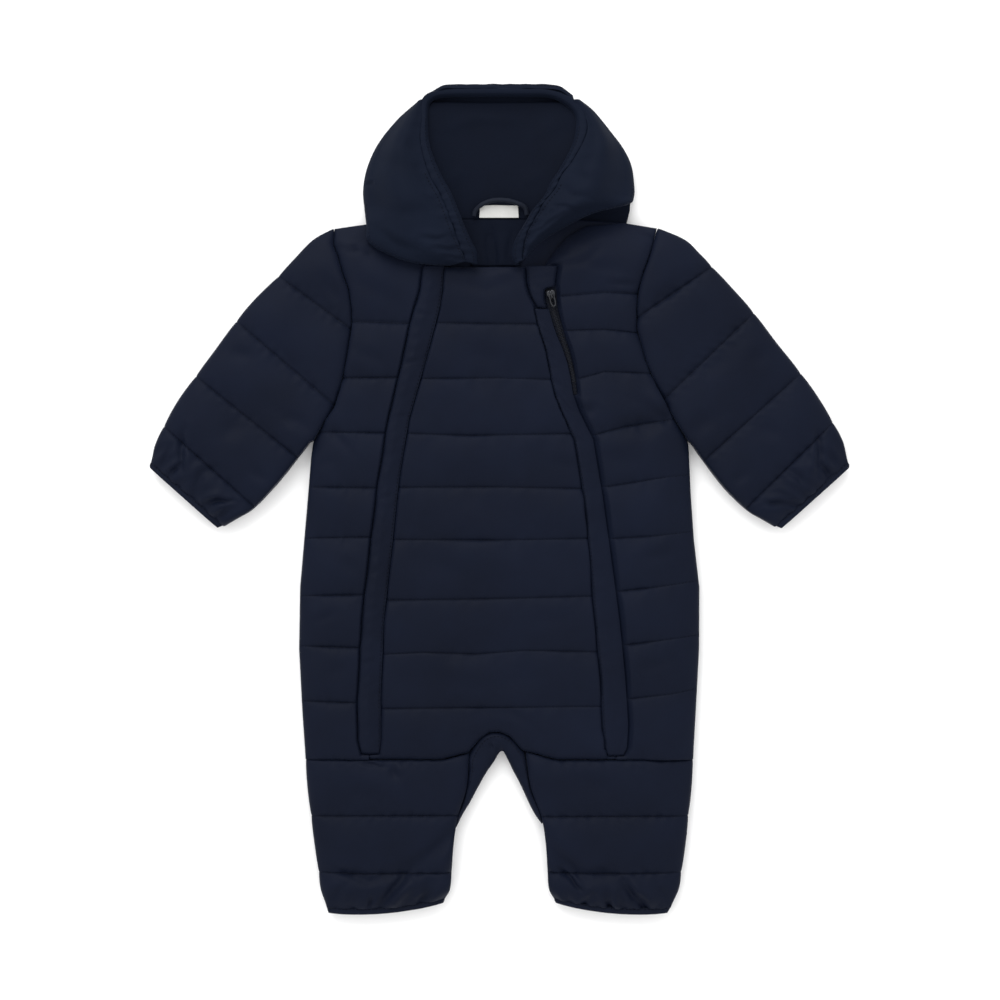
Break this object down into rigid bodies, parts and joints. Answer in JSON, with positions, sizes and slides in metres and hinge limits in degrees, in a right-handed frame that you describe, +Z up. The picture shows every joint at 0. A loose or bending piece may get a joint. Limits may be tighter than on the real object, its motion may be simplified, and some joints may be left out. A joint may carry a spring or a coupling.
{
  "type": "baby snowsuit",
  "caption": "Hooded quilted baby snowsuit laid flat, with a padded hood, sleeves and legs, elastic cuffs and hems, flap-covered front zips and a small swinging zip puller.",
  "frame": {"origin": "on the table under the middle of the laid suit's box", "axes": "+Z up from the table, +Y towards the hood, +X towards the side whose zip puller shows"},
  "size_m": [0.5604, 0.6642, 0.044],
  "materials": {
    "shell_cloth": "dark navy polyester shell, soft matt with a faint sheen, lightly padded and quilted",
    "elastic_binding": "dark navy elastic binding at cuffs and hems",
    "hood_cloth": "dark navy polyester shell over a padded hood with an elastic casing",
    "lining_cloth": "very dark navy plain lining",
    "label_cloth": "bare white woven neck label",
    "zip_tape": "near-black woven zip tape with coil teeth",
    "zip_metal": "small dull grey zip slider, bridge and puller"
  },
  "bodies": {
    "suit": {"back_body": "shell_cloth", "front_centre": "shell_cloth", "front_side_left": "shell_cloth", "front_side_right": "shell_cloth", "sleeve_left": "shell_cloth", "sleeve_right": "shell_cloth", "leg_left": "shell_cloth", "leg_right": "shell_cloth", "crotch_gusset": "shell_cloth", "zip_flap_left": "shell_cloth", "zip_flap_right": "shell_cloth", "zip_cover_right": "shell_cloth", "cuff_binding_left": "elastic_binding", "cuff_binding_right": "elastic_binding", "hem_binding_left": "elastic_binding", "hem_binding_right": "elastic_binding", "hood_back": "hood_cloth", "hood_left": "hood_cloth", "hood_right": "hood_cloth", "hood_casing": "hood_cloth", "hood_lining": "lining_cloth", "back_lining": "lining_cloth", "hanger_loop": "lining_cloth", "neck_label": "label_cloth", "zip_tape_right": "zip_tape", "zip_slider_right": "zip_metal", "zip_bridge_right": "zip_metal"},
    "zip_puller": {"zip_puller_right": "zip_metal"}
  },
  "joints": [
    {"name": "puller_swing", "type": "hinge", "parent": "suit", "child": "zip_puller", "pos_m": [0.0412, 0.1632, 0.0206], "axis": [-0.9703, -0.2419, 0], "range_deg": [0, 150]}
  ]
}
